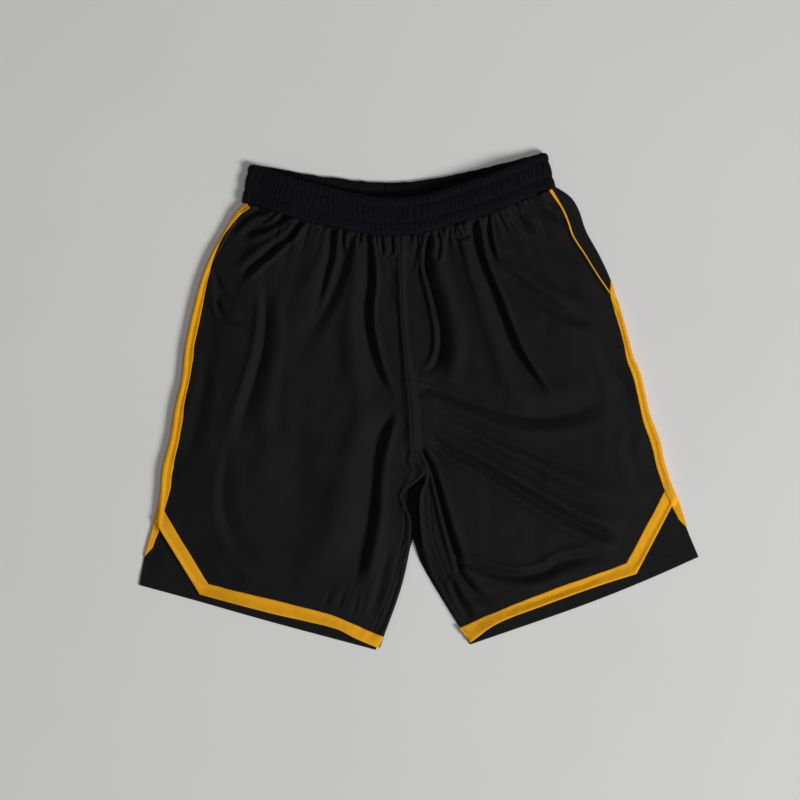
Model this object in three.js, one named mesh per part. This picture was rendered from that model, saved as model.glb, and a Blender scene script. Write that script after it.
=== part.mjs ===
// Pull-on boxing shorts lying on their back, as an assembly of sewn cloth pieces.
// Millimetres. +X points to the wearer's left, +Y from the hems to the waist, +Z up from the surface.
// Each cloth piece is a plain closed sheet, and pieces meet at their seams with a small gap.
import * as THREE from "three";

const { clamp, degToRad, lerp, mapLinear } = THREE.MathUtils;
const v2 = (x, y) => new THREE.Vector2(x, y);

// ---- Driving dimensions of the garment ----------------------------------------------------

const WAIST = 341; // flat width of the gathered waist seam
const BAND = 42; // height of the waistband
const RISE = 246; // front rise, waist seam to crotch
const INSEAM = 222; // crotch to hem
const LEG_OPENING = 274; // flat width of a back hem
const TAPE = 14; // width of the contrast tape
const HEM_STEP = 11; // how much shorter the front hem is than the back hem
const HEM_RISE = 3; // how far the lofted front hem draws up between its ends
const VENT = 68; // how far the front's outer hem corner is cut back along the hem and the side
const BACK_RISE_EXTRA = 18; // how much higher the back waist is cut than the front
const POCKET_TOP = 14; // waist seam to the top of the pocket bag
const POCKET_DEPTH = 190; // height of the pocket bag
const POCKET_WIDTH = 120; // side seam to the inner fold of the pocket bag
const POCKET_MOUTH = 125; // length of the pocket mouth
const FACING_WIDTH = 38;
const FLY_BAR = 27; // length of the bar stitch at the mock fly
const FLY_BAR_DROP = 158; // waist seam to the bar stitch
const FLY_BAR_FALL = 15; // how far the bar falls off the line of the cloth at its outer end
const HEM_JOIN = 22; // inner end of the hem tape to the stitching over its join
const TACK_SPACING = 90; // between the two stitched tacks on the front waistband
const TACK_SHIFT = -8; // the tacks lie towards the wearer's right
const TACK_HEIGHT = 18;
const LABEL_WIDTH = 29;
const LABEL_HEIGHT = 32;

// Thicknesses and clearances.
const CLOTH = 1;
const LINING = 0.6;
const CASING_PLY = 0.8;
const ELASTIC = 1.2;
const TRIM = 0.7; // tape and label
const THREAD = 0.5; // a bar of stitching
const THREAD_WIDTH = 3;
const GAP = 0.3; // between pieces that are sewn together
const DRAPE_GAP = 0.6; // between pieces that follow the same sloping cloth
const LEG_GAP = 1.2; // between the legs where they lie side by side

// How the garment lies on the surface.
const WAIST_TILT = 2.5; // degrees, the wearer's left side up
const WAIST_SAG = 44.5; // how far the middle of the front waist hangs below its corners
const WAIST_LOFT = 12; // height of the front waistband's underside
const FRONT_LOFT = 20; // height of the front cloth over the middle of a leg
const HEM_LOFT = 12; // the same at the hem
const CORNER_ROLL = 3; // bend radius of the waistband at its two sides
const CROTCH_SHIFT = 9; // the crotch lies over towards the wearer's left
const LEFT_MOUTH_LOFT = 9.5; // the wearer's left pocket mouth lies open

// Colours of the cloth, the lining, the elastic and the tape.
const BLACK_KNIT = { color: 0x0c0c0e, roughness: 0.8, metalness: 0 };
const BLACK_LINING = { color: 0x151517, roughness: 0.9, metalness: 0 };
const BLACK_THREAD = { color: 0x101012, roughness: 0.7, metalness: 0 };
const ELASTIC_WEBBING = { color: 0x1c1c1e, roughness: 0.75, metalness: 0 };
const YELLOW_TAPE = { color: 0xeaa50c, roughness: 0.6, metalness: 0 };

// ---- Curves and closed bodies -------------------------------------------------------------

const turned = (length, degrees) =>
  v2(length * Math.cos(degToRad(degrees)), length * Math.sin(degToRad(degrees)));

// A smooth line from a to b. Each bend is [share of the way, offset to the left of the way].
function bowed(a, b, bends) {
  const way = b.clone().sub(a);
  const left = v2(-way.y, way.x).normalize();
  const middle = bends.map(([share, offset]) =>
    a.clone().addScaledVector(way, share).addScaledVector(left, offset),
  );
  return new THREE.SplineCurve([a, ...middle, b]);
}

// Reads a rising list of [position, value] with straight lines between its entries.
function readLine(entries, position) {
  const next = entries.findIndex(([at]) => at >= position);
  if (next <= 0) return entries.at(next)[1];
  const [[a, from], [b, to]] = [entries[next - 1], entries[next]];
  return mapLinear(position, a, b, from, to);
}

const spread = (from, to, steps) =>
  Array.from({ length: steps }, (_, i) => lerp(from, to, i / steps));

// A closed body between two faces over the same grid. Each cell is the pair of points there.
// With closed set, the last row joins the first one again.
function sheet(grid, closed = false) {
  const rows = grid.length;
  const columns = grid[0].length;
  const points = [0, 1].flatMap((face) => grid.flat().map((pair) => pair[face]));
  const index = (face, row, column) => (face * rows + (row % rows)) * columns + column;
  const triangles = [];
  const quad = (a, b, c, d) => triangles.push([a, b, c], [a, c, d]);
  const last = closed ? rows : rows - 1;
  for (let i = 0; i < last; i++) {
    for (let j = 0; j + 1 < columns; j++) {
      quad(index(1, i, j), index(1, i, j + 1), index(1, i + 1, j + 1), index(1, i + 1, j));
      quad(index(0, i, j), index(0, i + 1, j), index(0, i + 1, j + 1), index(0, i, j + 1));
    }
    const end = columns - 1;
    quad(index(0, i, 0), index(1, i, 0), index(1, i + 1, 0), index(0, i + 1, 0));
    quad(index(0, i, end), index(0, i + 1, end), index(1, i + 1, end), index(1, i, end));
  }
  for (let j = 0; j + 1 < columns && !closed; j++) {
    quad(index(0, 0, j), index(0, 0, j + 1), index(1, 0, j + 1), index(1, 0, j));
    quad(index(0, last, j), index(1, last, j), index(1, last, j + 1), index(0, last, j + 1));
  }
  let volume = 0;
  for (const [a, b, c] of triangles) volume += points[a].dot(points[b].clone().cross(points[c]));
  const outward = volume > 0 ? triangles : triangles.map(([a, b, c]) => [a, c, b]);
  const geometry = new THREE.BufferGeometry().setFromPoints(points);
  geometry.setIndex(outward.flat());
  geometry.computeVertexNormals();
  return geometry;
}

// The pair of points of a level sheet: thickness is measured straight up.
const layer = (at, low, thickness) => [
  new THREE.Vector3(at.x, at.y, low),
  new THREE.Vector3(at.x, at.y, low + thickness),
];

const shorts = new THREE.Group();

function add(name, geometry, look) {
  const mesh = new THREE.Mesh(geometry, new THREE.MeshStandardMaterial(look));
  mesh.name = name;
  shorts.add(mesh);
}

// ---- The waist ----------------------------------------------------------------------------

// Shares of the way from the centre seam to a side seam at which every layer is sampled.
const COLUMNS = [0, 0.12, 0.26, 0.42, 0.58, 0.72, 0.84, 0.92, 1];
const WAIST_SHARES = [
  ...COLUMNS.map((u) => 0.5 - 0.5 * u).reverse(),
  ...COLUMNS.slice(1).map((u) => 0.5 + 0.5 * u),
];

const waistMiddle = v2(-5, WAIST_SAG);
const waistRight = waistMiddle.clone().add(turned(-WAIST / 2, WAIST_TILT));
const waistLeft = waistMiddle.clone().add(turned(WAIST / 2, WAIST_TILT));
const topRight = waistRight.clone().add(turned(BAND, 79));
const topLeft = waistLeft.clone().add(turned(BAND, 103));
const sagging = (a, b, sag) => bowed(a, b, [[0.24, -0.62 * sag], [0.5, -sag], [0.76, -0.62 * sag]]);
const frontSeam = sagging(waistRight, waistLeft, WAIST_SAG);
const frontTop = sagging(topRight, topLeft, WAIST_SAG);
const backSeam = sagging(waistRight, waistLeft, WAIST_SAG - BACK_RISE_EXTRA);
const backTop = sagging(topRight, topLeft, WAIST_SAG - BACK_RISE_EXTRA);

// The casing is a strip folded over the elastic, half of its thickness to each side of its middle.
const CASING_HALF = ELASTIC / 2 + GAP + CASING_PLY;
const BACK_MIDDLE = CASING_HALF;
const CORNER_MIDDLE = BACK_MIDDLE + 2 * CORNER_ROLL;
const CORNER_TURNS = [45, 90, 135];
const WAIST_SHOULDER = 0.13; // share of the waist over which the front rises from a side

const frontMiddle = (share) =>
  lerp(CORNER_MIDDLE, WAIST_LOFT + CASING_HALF, clamp(Math.min(share, 1 - share) / WAIST_SHOULDER, 0, 1));

// Stations once round the band: its top and bottom edge, the height of its middle, its outer side.
const bandStation = (top, bottom, middle, x, z) => ({ top, bottom, middle, outer: new THREE.Vector3(x, 0, z) });

function bandCorner(share, side) {
  return CORNER_TURNS.map((degrees) => {
    const [sine, cosine] = [Math.sin(degToRad(degrees)), Math.cos(degToRad(degrees))];
    const out = v2(side * CORNER_ROLL * sine, 0);
    const middle = BACK_MIDDLE + CORNER_ROLL * (1 - cosine);
    return bandStation(
      frontTop.getPointAt(share).add(out), frontSeam.getPointAt(share).add(out), middle, side * sine, -cosine,
    );
  });
}

const backOfBand = WAIST_SHARES.map((share) =>
  bandStation(backTop.getPointAt(share), backSeam.getPointAt(share), BACK_MIDDLE, 0, -1),
);
const frontOfBand = WAIST_SHARES.map((share) =>
  bandStation(frontTop.getPointAt(share), frontSeam.getPointAt(share), frontMiddle(share), 0, 1),
);
const band = [
  ...backOfBand.reverse(), ...bandCorner(0, -1), ...frontOfBand, ...bandCorner(1, 1).reverse(),
];

// A point of a band station: depth below the top edge out of BAND, and offset to the outer side.
function bandPoint({ top, bottom, middle, outer }, depth, offset) {
  const at = top.clone().lerp(bottom, depth / BAND);
  return new THREE.Vector3(at.x, at.y, middle).addScaledVector(outer, offset);
}

const CHANNEL_HALF = CASING_HALF - CASING_PLY;
const CASING_END = BAND - GAP;
// Each entry is [depth, offset of the fold's inner face] and the same for its outer face.
const CASING_SECTION = [
  [[CASING_END, -CHANNEL_HALF], [CASING_END, -CASING_HALF]],
  [[CASING_PLY, -CHANNEL_HALF], [0, -CASING_HALF]],
  [[CASING_PLY, CHANNEL_HALF], [0, CASING_HALF]],
  [[CASING_END, CHANNEL_HALF], [CASING_END, CASING_HALF]],
];
const aroundBand = (section) =>
  band.map((station) => section.map((pair) => pair.map(([depth, offset]) => bandPoint(station, depth, offset))));
add("waistband_casing", sheet(aroundBand(CASING_SECTION), true), BLACK_KNIT);

const ELASTIC_SECTION = [CASING_PLY + GAP, BAND - 2].map((depth) => [
  [depth, -ELASTIC / 2],
  [depth, ELASTIC / 2],
]);
add("waist_elastic", sheet(aroundBand(ELASTIC_SECTION), true), ELASTIC_WEBBING);

// A flat patch on a face of the band, centred on a share of the waist.
function bandPatch(topEdge, seam, share, width, depth, height, low, thickness) {
  const rows = [depth, depth + height];
  return rows.map((down) =>
    [-width / 2, width / 2].map((across) => {
      const here = share + across / WAIST;
      const way = seam.getPointAt(here).sub(topEdge.getPointAt(here)).normalize();
      return layer(topEdge.getPointAt(here).addScaledVector(way, down), low, thickness);
    }),
  );
}

for (const [name, offset] of [["right", -TACK_SPACING / 2], ["left", TACK_SPACING / 2]]) {
  const share = 0.5 + (TACK_SHIFT + offset) / WAIST;
  const low = frontMiddle(share) + CASING_HALF + GAP;
  const depth = (BAND - TACK_HEIGHT) / 2;
  const patch = bandPatch(frontTop, frontSeam, share, THREAD_WIDTH, depth, TACK_HEIGHT, low, THREAD);
  add(`waistband_tack_${name}`, sheet(patch), BLACK_THREAD);
}

const labelLow = BACK_MIDDLE + CASING_HALF + GAP;
const labelPatch = bandPatch(backTop, backSeam, 0.5, LABEL_WIDTH, 4, LABEL_HEIGHT, labelLow, TRIM);
add("waist_label", sheet(labelPatch), BLACK_LINING);

// ---- The legs -----------------------------------------------------------------------------

const crotch = v2(CROTCH_SHIFT, -RISE);

// What differs between the legs as they lie. Bends are [share, offset towards the leg's own outside].
const LEGS = [
  {
    name: "right",
    side: -1,
    waistCorner: waistRight,
    inseamTurn: 10.4,
    hemSlope: 15.3,
    inseamBends: [[0.2, -6], [0.44, -17], [0.68, -14], [0.93, -5]],
    sideBends: [[0.1, 16], [0.18, 23], [0.36, 20], [0.62, 9], [0.8, 1]],
    mouthLoft: 0,
    mouthInset: 0,
    tapeShows: [[0, 10], [0.08, 11], [0.13, 4], [0.2, TAPE], [1, TAPE]],
  },
  {
    name: "left",
    side: 1,
    waistCorner: waistLeft,
    inseamTurn: 17.3,
    hemSlope: 21,
    inseamBends: [[0.2, -15], [0.39, -24], [0.6, -21], [0.9, -7]],
    sideBends: [[0.04, 15], [0.14, 20], [0.28, 25], [0.44, 17], [0.69, 7]],
    mouthLoft: LEFT_MOUTH_LOFT,
    mouthInset: 17,
    tapeShows: [[0, 5], [0.26, 3], [0.34, TAPE], [1, TAPE]],
  },
];

const LENGTH = RISE + INSEAM; // what the rows of a leg are measured in, from waist seam to hem
const CROTCH_ROW = RISE / LENGTH;
const VENT_ROW = 1 - VENT / LENGTH;
const HEM_ROW = 1 - HEM_STEP / LENGTH;
const FRONT_ROWS = [
  ...spread(0, CROTCH_ROW, 9), ...spread(CROTCH_ROW, VENT_ROW, 6), ...spread(VENT_ROW, HEM_ROW, 4), HEM_ROW,
];
const BACK_ROWS = [...spread(0, CROTCH_ROW, 7), ...spread(CROTCH_ROW, 1, 7), 1];
const POCKET_ROWS = [POCKET_TOP / LENGTH, (POCKET_TOP + POCKET_DEPTH) / LENGTH];
const MOUTH_END = (POCKET_TOP + POCKET_MOUTH) / LENGTH;

// Heights of the layers: back panel, lower pocket ply, facing, upper pocket ply, front panel.
const ON_BACK = CLOTH + GAP;
const ON_LOWER_PLY = ON_BACK + LINING + GAP;
const ON_FACING = ON_LOWER_PLY + LINING + GAP;
const OVER_POCKET = ON_FACING + LINING + DRAPE_GAP;

// A patch between four curves: top and bottom run outwards, inner and outer run down.
function patchBetween(top, bottom, inner, outer) {
  const corners = [top(0), top(1), bottom(0), bottom(1)];
  return (u, v) => {
    const weights = [(1 - u) * (1 - v), u * (1 - v), (1 - u) * v, u * v];
    const at = inner(v).multiplyScalar(1 - u).addScaledVector(outer(v), u);
    at.addScaledVector(top(u), 1 - v).addScaledVector(bottom(u), v);
    corners.forEach((corner, i) => at.addScaledVector(corner, -weights[i]));
    return at;
  };
}

// Plan and heights of one leg. The front is read at a share of its own width and at a row.
function layOut(leg) {
  const { side } = leg;
  const outwards = (bends) => bends.map(([share, offset]) => [share, side * offset]);
  const aside = (distance) => v2(side * distance, 0);
  const hemInner = crotch.clone().add(turned(INSEAM, -90 + side * leg.inseamTurn));
  const hemOuter = hemInner.clone().add(turned(side * LEG_OPENING, side * leg.hemSlope));
  const inseam = bowed(crotch.clone().add(aside(LEG_GAP / 2)), hemInner, outwards(leg.inseamBends));
  const sideSeam = bowed(leg.waistCorner, hemOuter, outwards(leg.sideBends));
  const inner = (seam) => {
    const start = seam.getPointAt(0.5).add(aside(GAP / 2));
    const centreSeam = bowed(start, crotch.clone().add(aside(LEG_GAP / 2)), [[0.5, 1]]);
    return (v) =>
      v < CROTCH_ROW
        ? centreSeam.getPointAt(v / CROTCH_ROW)
        : inseam.getPointAt((v - CROTCH_ROW) / (1 - CROTCH_ROW));
  };
  const outer = (v) => sideSeam.getPointAt(v);
  const waist = (seam) => (u) => seam.getPointAt(0.5 + side * 0.5 * u).add(aside((GAP / 2) * (1 - u)));
  const hem = (u) => hemInner.clone().lerp(hemOuter, u);
  const drawnHem = bowed(hemInner, hemOuter, [[0.35, side * HEM_RISE], [0.65, side * 0.5 * HEM_RISE]]);
  const frontHem = (u) => drawnHem.getPointAt(u);
  const back = patchBetween(waist(backSeam), hem, inner(backSeam), outer);
  const front = patchBetween(waist(frontSeam), frontHem, inner(frontSeam), outer);
  const width = (v) => front(0, v).distanceTo(front(1, v));

  // The share of the full width that the front panel reaches: cut back at the mouth and the vent.
  const reach = (v) => {
    const vent = clamp((v - VENT_ROW) / (HEM_ROW - VENT_ROW), 0, 1) * (VENT / LEG_OPENING);
    const inset = leg.mouthInset * Math.sin(Math.PI * clamp(v / MOUTH_END, 0, 1));
    return 1 - vent - inset / width(v);
  };

  // Underside of the front panel at its outer edge and at its inner edge.
  const mouthLoft = Math.max(leg.mouthLoft, OVER_POCKET);
  const outerEdge = [
    [0, CORNER_MIDDLE - CLOTH / 2], [0.15 * MOUTH_END, mouthLoft], [0.85 * MOUTH_END, mouthLoft],
    [1.15 * MOUTH_END, OVER_POCKET], [POCKET_ROWS[1] + 0.02, OVER_POCKET],
    [POCKET_ROWS[1] + 0.1, ON_BACK], [1, ON_BACK],
  ];
  const loft = [[0, FRONT_LOFT], [0.8, FRONT_LOFT], [1, HEM_LOFT]];
  const innerEdge = [[0, FRONT_LOFT], [0.7 * CROTCH_ROW, FRONT_LOFT], [CROTCH_ROW, ON_BACK], [1, ON_BACK]];
  const WAIST_BLEND = 0.14; // rows over which the front rises from the waist seam to its full loft

  const columnHeight = (g, v) => {
    const full = readLine(loft, v);
    const fromInner = lerp(readLine(innerEdge, v), full, Math.sin((Math.PI / 2) * clamp(g / 0.3, 0, 1)));
    const fromOuter = Math.sin((Math.PI / 2) * clamp((1 - g) / 0.4, 0, 1));
    const body = lerp(readLine(outerEdge, v), fromInner, fromOuter);
    const atWaist = frontMiddle(0.5 + 0.5 * g) - CLOTH / 2;
    return lerp(atWaist, body, clamp(v / WAIST_BLEND, 0, 1));
  };
  const underside = (g, v) => readLine(COLUMNS.map((column) => [column, columnHeight(column, v)]), g);
  const frontAt = (g, v) => front(g * reach(v), v);
  return { ...leg, back, front, width, reach, underside, frontAt };
}

function addPanels(leg) {
  const front = FRONT_ROWS.map((v) =>
    COLUMNS.map((g) => layer(leg.frontAt(g, v), leg.underside(g, v), CLOTH)),
  );
  add(`front_panel_${leg.name}`, sheet(front), BLACK_KNIT);
  const back = BACK_ROWS.map((v) => COLUMNS.map((u) => layer(leg.back(u, v), 0, CLOTH)));
  add(`back_panel_${leg.name}`, sheet(back), BLACK_KNIT);
}

// A pair of points of a trim that lies on the front panel.
const onFront = (leg, g, v, thickness) =>
  layer(leg.frontAt(g, v), leg.underside(g, v) + CLOTH + DRAPE_GAP, thickness);

// The side tape lies along the front's outer edge, then past the vent on the back panel to a point.
const TAPE_JOIN_ROW = VENT_ROW + ((TAPE + 1) / VENT) * (HEM_ROW - VENT_ROW);
const TAPE_TIP_ROW = 1 - 0.45 * (VENT / LENGTH);

function addSideTape(leg) {
  const rows = FRONT_ROWS.filter((v) => v <= VENT_ROW).map((v) => {
    const width = readLine(leg.tapeShows, v) / (leg.width(v) * leg.reach(v));
    return [1 - width, 1].map((g) => onFront(leg, g, v, TRIM));
  });
  const overFront = ON_BACK + CLOTH + DRAPE_GAP;
  const steps = [
    [TAPE_JOIN_ROW, TAPE, overFront],
    [lerp(TAPE_JOIN_ROW, TAPE_TIP_ROW, 0.4), 0.75 * TAPE, ON_BACK],
    [TAPE_TIP_ROW, 0.1 * TAPE, ON_BACK],
  ];
  for (const [v, width, low] of steps) {
    const share = width / leg.width(v);
    rows.push([1 - share, 1].map((u) => layer(leg.front(u, v), low, TRIM)));
  }
  add(`side_tape_${leg.name}`, sheet(rows), YELLOW_TAPE);
}

// The hem tape edges the front hem and the cut-back corner, up to the side tape.
function addHemTape(leg) {
  const up = TAPE / LENGTH;
  const across = (v) => (1.05 * TAPE) / (leg.width(v) * leg.reach(v));
  const cornerIn = 1 - across(HEM_ROW);
  const hem = COLUMNS.filter((g) => g < cornerIn - 0.02).map((g) => [[g, HEM_ROW], [g, HEM_ROW - up]]);
  const corner = [[1, HEM_ROW], [cornerIn, HEM_ROW - up]];
  const rising = [...FRONT_ROWS, TAPE_JOIN_ROW]
    .filter((v) => v >= TAPE_JOIN_ROW && v < HEM_ROW - up - 0.01)
    .sort((a, b) => b - a);
  const diagonal = rising.map((v) => [[1, v], [1 - across(v), v]]);
  const rows = [...hem, corner, ...diagonal].map((pair) =>
    pair.map(([g, v]) => onFront(leg, g, v, TRIM)),
  );
  add(`hem_tape_${leg.name}`, sheet(rows), YELLOW_TAPE);

  const joinWidth = leg.width(HEM_ROW) * leg.reach(HEM_ROW);
  const stitches = [HEM_ROW - up, HEM_ROW].map((v) =>
    [HEM_JOIN, HEM_JOIN + THREAD_WIDTH].map((across) => {
      const g = across / joinWidth;
      const low = leg.underside(g, v) + CLOTH + DRAPE_GAP + TRIM + GAP;
      return layer(leg.frontAt(g, v), low, THREAD);
    }),
  );
  add(`hem_tape_join_${leg.name}`, sheet(stitches), BLACK_THREAD);
}

// The pocket bag is one piece of lining folded at its inner edge, open along the side seam.
function addPocket(leg) {
  const [top, bottom] = POCKET_ROWS;
  const between = FRONT_ROWS.filter((v) => v > top + 0.01 && v < bottom - 0.01);
  const fold = 1 - POCKET_WIDTH / leg.width(0.5 * (top + bottom));
  const mouth = 1 - 1.5 / leg.width(top);
  const columns = [mouth, ...COLUMNS.filter((u) => u > fold + 0.04 && u < mouth - 0.01).reverse(), fold];
  const bag = [top, ...between, bottom].map((v) => {
    const sewn = v === top || v === bottom;
    const lower = columns.map((u) => {
      const [outside, inside] = layer(leg.frontAt(u, v), ON_BACK, LINING);
      return [inside, outside];
    });
    const turn = leg.frontAt(fold, v).lerp(leg.frontAt(fold - 0.05, v), 0.5);
    const middle = ON_BACK + LINING + GAP / 2;
    const turnPair = [leg.frontAt(fold, v), turn].map((at) => new THREE.Vector3(at.x, at.y, middle));
    const upper = columns.toReversed().map((u) => {
      const open = leg.underside(u, v) - DRAPE_GAP - LINING;
      const height = sewn ? ON_FACING : open;
      return layer(leg.frontAt(u, v), u === fold ? ON_BACK + LINING + GAP : height, LINING);
    });
    return [...lower, turnPair, ...upper];
  });
  add(`pocket_bag_${leg.name}`, sheet(bag), BLACK_LINING);

  // The facing backs the mouth, so that the lining doesn't show in it.
  const rows = [top + 0.01, ...between.filter((v) => v < 1.2 * MOUTH_END)];
  const facing = rows.map((v) => {
    const inside = 1 - FACING_WIDTH / leg.width(v);
    return [inside, mouth].map((u) => layer(leg.frontAt(u, v), ON_LOWER_PLY, LINING));
  });
  add(`pocket_facing_${leg.name}`, sheet(facing), BLACK_KNIT);
}

const legs = LEGS.map(layOut);
for (const leg of legs) {
  addPanels(leg);
  addSideTape(leg);
  addHemTape(leg);
  addPocket(leg);
}

// The mock fly's bar of stitching crosses from the centre seam onto the wearer's left front.
const flyRow = FLY_BAR_DROP / LENGTH;
const flyWidth = legs[1].width(flyRow);
const flyBar = [-THREAD_WIDTH / 2, THREAD_WIDTH / 2].map((down) =>
  [[1, 0], [1 + FLY_BAR, FLY_BAR_FALL]].map(([across, fall]) =>
    onFront(legs[1], across / flyWidth, flyRow + (down + fall) / LENGTH, THREAD),
  ),
);
add("fly_bar_stitch", sheet(flyBar), BLACK_THREAD);

// The frame's origin lies under the middle of the whole garment, on the surface.
const box = new THREE.Box3().setFromObject(shorts);
const centre = box.getCenter(new THREE.Vector3());
shorts.position.set(-centre.x, -centre.y, -box.min.z);

export default shorts;
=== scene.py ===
"""Boxing shorts lying on their back: the looks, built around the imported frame.

Lengths are in millimetres until a mesh is made. x runs to the wearer's left, y to the waist, z up.
"""
import math

import bpy
import numpy as np
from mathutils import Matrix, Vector
from mathutils.bvhtree import BVHTree


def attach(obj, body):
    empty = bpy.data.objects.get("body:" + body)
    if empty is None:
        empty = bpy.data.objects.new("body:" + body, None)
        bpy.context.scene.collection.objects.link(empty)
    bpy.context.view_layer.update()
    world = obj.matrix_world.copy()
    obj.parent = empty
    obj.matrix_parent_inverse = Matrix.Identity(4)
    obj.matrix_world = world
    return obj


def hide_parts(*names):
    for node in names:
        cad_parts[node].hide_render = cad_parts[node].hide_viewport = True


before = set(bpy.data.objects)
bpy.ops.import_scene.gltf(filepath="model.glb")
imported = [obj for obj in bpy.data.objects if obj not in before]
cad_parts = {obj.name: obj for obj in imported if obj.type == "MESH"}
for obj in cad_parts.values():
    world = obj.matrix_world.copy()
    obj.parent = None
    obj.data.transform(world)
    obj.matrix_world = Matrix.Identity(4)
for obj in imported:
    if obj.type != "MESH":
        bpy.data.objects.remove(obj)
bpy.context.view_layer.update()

MM = 0.001
KNIT = 0.9  # thickness of the knit
TAPE_THICK = 0.7
TAPE = 14.0  # width of the binding tape
FLOOR_CLEAR = 0.15  # the lowest cloth stays this far over the floor
EDGE_ROLL = 1.4  # how far a folded tape stands outside of the edge that it binds

BAND_HEIGHT = 41.5
BAND_STITCHES = (9.4, 27.3)  # below the band's top edge
WAIST_SAG = 44.5
BACK_EXTRA = 18.0  # how much higher the back waist lies

LOFT_WAIST = 12.5  # height of the front cloth at the waist seam, over a leg and at the hem
LOFT_LEG = 17.0
LOFT_HEM = 9.0
LOWEST_FRONT = 1.9  # the front cloth's underside is nowhere lower


# ---- Lines and patches --------------------------------------------------------------------

def running_length(points):
    """The length along a row of points, from 0 at the first."""
    return np.r_[0, np.cumsum(np.linalg.norm(np.diff(points, axis=0), axis=1))]


class Line:
    """A smooth line through points, read by its share of length. Runs meet in sharp corners."""

    def __init__(self, *runs):
        dense = np.vstack([self.smooth(np.array(run, float)) for run in runs])
        steps = np.linalg.norm(np.diff(dense, axis=0), axis=1)
        self.dense = dense[np.r_[True, steps > 1e-6]]
        self.along = running_length(self.dense)
        self.length = self.along[-1]

    @staticmethod
    def smooth(points, steps=14):
        """A Catmull-Rom curve through the points."""
        if len(points) == 2:
            return points
        ends = np.vstack([2 * points[0] - points[1], points, 2 * points[-1] - points[-2]])
        t = np.linspace(0, 1, steps, endpoint=False)[:, None]
        out = []
        for p0, p1, p2, p3 in zip(ends, ends[1:], ends[2:], ends[3:]):
            out.append(
                0.5 * (2 * p1 + (p2 - p0) * t + (2 * p0 - 5 * p1 + 4 * p2 - p3) * t**2
                       + (3 * p1 - 3 * p2 + p3 - p0) * t**3)
            )
        return np.vstack(out + [points[-1:]])

    def at(self, share):
        far = np.clip(np.asarray(share, float), 0, 1) * self.length
        return np.stack([np.interp(far, self.along, self.dense[:, k]) for k in (0, 1)], -1)

    def side(self, share):
        """Unit vectors to the left of the line's way."""
        way = self.at(np.asarray(share) + 0.002) - self.at(np.asarray(share) - 0.002)
        way /= np.linalg.norm(way, axis=-1, keepdims=True)
        return np.stack([-way[..., 1], way[..., 0]], -1)

    def near(self, points):
        """Each point's distance to the line, the share of length there, and 1 on the left or -1."""
        flat = points.reshape(-1, 2)
        best = np.full(len(flat), 1e9)
        share = np.zeros(len(flat))
        sign = np.ones(len(flat))
        for i in range(len(self.dense) - 1):
            a, b = self.dense[i], self.dense[i + 1]
            way = b - a
            t = np.clip((flat - a) @ way / (way @ way), 0, 1)
            off = flat - a - t[:, None] * way
            far = np.hypot(off[:, 0], off[:, 1])
            closer = far < best
            best[closer] = far[closer]
            share[closer] = (self.along[i] + t[closer] * math.hypot(*way)) / self.length
            sign[closer] = np.sign(way[0] * off[closer, 1] - way[1] * off[closer, 0])
        return [found.reshape(points.shape[:-1]) for found in (best, share, sign)]


def patch(top, bottom, inner, outer, u, v):
    """Points of a grid between four lines: rows by v, columns by u."""
    u2, v2 = u[None, :, None], v[:, None, None]
    t, b = top.at(u)[None], bottom.at(u)[None]
    i, o = inner(v)[:, None], outer(v)[:, None]
    ties = ((1 - u2) * (1 - v2) * t[:, :1] + u2 * (1 - v2) * t[:, -1:]
            + (1 - u2) * v2 * b[:, :1] + u2 * v2 * b[:, -1:])
    return (1 - v2) * t + v2 * b + (1 - u2) * i + u2 * o - ties


def ease(t):
    t = np.clip(t, 0, 1)
    return t * t * (3 - 2 * t)


def wave_noise(x, step, seed):
    """Smooth noise along a line, from -1 to 1, with a knot each step."""
    knots = np.random.RandomState(seed).uniform(-1, 1, 4096)
    place = np.asarray(x) / step + 1024
    low = np.floor(place).astype(int)
    t = ease(place - low)
    return knots[low % 4096] * (1 - t) + knots[(low + 1) % 4096] * t


def soft_noise(points, step, seed):
    """Smooth noise over the plan, from -1 to 1."""
    knots = np.random.RandomState(seed).uniform(-1, 1, (256, 256))
    place = points / step + 128
    low = np.floor(place).astype(int)
    t = ease(place - low)
    pick = lambda dx, dy: knots[(low[..., 0] + dx) % 256, (low[..., 1] + dy) % 256]
    first = pick(0, 0) * (1 - t[..., 0]) + pick(1, 0) * t[..., 0]
    second = pick(0, 1) * (1 - t[..., 0]) + pick(1, 1) * t[..., 0]
    return first * (1 - t[..., 1]) + second * t[..., 1]


# ---- Outlines of the garment as it lies ---------------------------------------------------

def sagging(a, b, sag):
    """A line between two corners that hangs lower in the middle."""
    a, b = np.array(a, float), np.array(b, float)
    drop = lambda share, part: a + (b - a) * share - (0, part * sag)
    return Line([a, drop(0.24, 0.62), drop(0.5, 1), drop(0.76, 0.62), b])


WAIST_RIGHT, WAIST_LEFT = (-193, 222), (148, 237)
TOP_RIGHT, TOP_LEFT = (-184, 265), (138, 278)
FRONT_SEAM = sagging(WAIST_RIGHT, WAIST_LEFT, WAIST_SAG)
FRONT_TOP = sagging(TOP_RIGHT, TOP_LEFT, WAIST_SAG)
BACK_SEAM = sagging(WAIST_RIGHT, WAIST_LEFT, WAIST_SAG - BACK_EXTRA)
BACK_TOP = sagging(TOP_RIGHT, TOP_LEFT, WAIST_SAG - BACK_EXTRA)

CROTCH = (8, -80)
CENTRE_SEAM = [(-18.5, 104), (-13, 37.5), (-8.5, -6), (-7, -43), (-3, -64), CROTCH]
CROTCH_ROW = 0.56  # the share of a panel's rows above the crotch

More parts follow.
